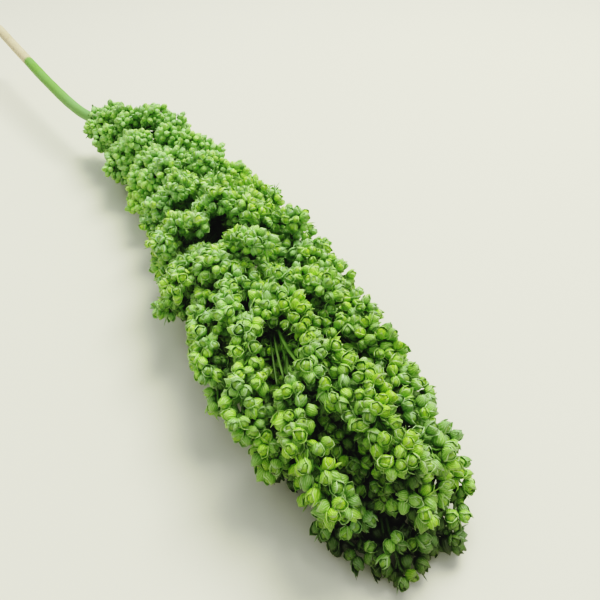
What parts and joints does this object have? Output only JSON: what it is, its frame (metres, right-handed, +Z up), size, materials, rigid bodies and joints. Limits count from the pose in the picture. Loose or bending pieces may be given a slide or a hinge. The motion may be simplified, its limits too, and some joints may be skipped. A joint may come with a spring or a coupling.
{
  "type": "sorghum seed head",
  "caption": "Dried, dyed sorghum seed head lying on its side: a curved stalk with drooping, overlapping branches packed with small round husked seeds, for dried flower displays.",
  "frame": {"origin": "on the table surface, under the middle of the whole object's box", "axes": "+X along the head from the cut end of the stalk to the tip, +Z up from the table, +Y across the head"},
  "size_m": [0.5694, 0.0816, 0.0531],
  "materials": {
    "stalk": "satin",
    "seeds": "satin"
  },
  "bodies": {
    "root": {"stem": "stalk", "seed_branch_01": "seeds", "seed_branch_02": "seeds", "seed_branch_03": "seeds", "seed_branch_04": "seeds", "seed_branch_05": "seeds", "seed_branch_06": "seeds", "seed_branch_07": "seeds", "seed_branch_08": "seeds", "seed_branch_09": "seeds", "seed_branch_10": "seeds", "seed_branch_11": "seeds", "seed_branch_12": "seeds", "seed_branch_13": "seeds", "seed_branch_14": "seeds", "seed_branch_15": "seeds", "seed_branch_16": "seeds", "seed_branch_17": "seeds", "seed_branch_18": "seeds", "seed_branch_19": "seeds", "seed_branch_20": "seeds", "seed_branch_21": "seeds", "seed_branch_22": "seeds", "seed_branch_23": "seeds", "seed_branch_24": "seeds", "seed_branch_25": "seeds", "seed_branch_26": "seeds", "seed_branch_27": "seeds", "seed_branch_28": "seeds", "seed_branch_29": "seeds", "seed_branch_30": "seeds", "seed_branch_31": "seeds", "seed_branch_32": "seeds", "seed_branch_33": "seeds", "seed_branch_34": "seeds", "seed_branch_35": "seeds", "seed_branch_36": "seeds", "seed_branch_37": "seeds", "seed_branch_38": "seeds", "seed_branch_39": "seeds", "seed_branch_40": "seeds", "seed_branch_41": "seeds", "seed_branch_42": "seeds", "seed_branch_43": "seeds", "seed_branch_44": "seeds", "seed_branch_45": "seeds", "seed_branch_46": "seeds", "seed_branch_47": "seeds", "seed_branch_48": "seeds", "seed_branch_49": "seeds", "seed_branch_50": "seeds", "seed_branch_51": "seeds", "seed_branch_52": "seeds", "seed_branch_53": "seeds", "seed_branch_54": "seeds"}
  },
  "joints": []
}
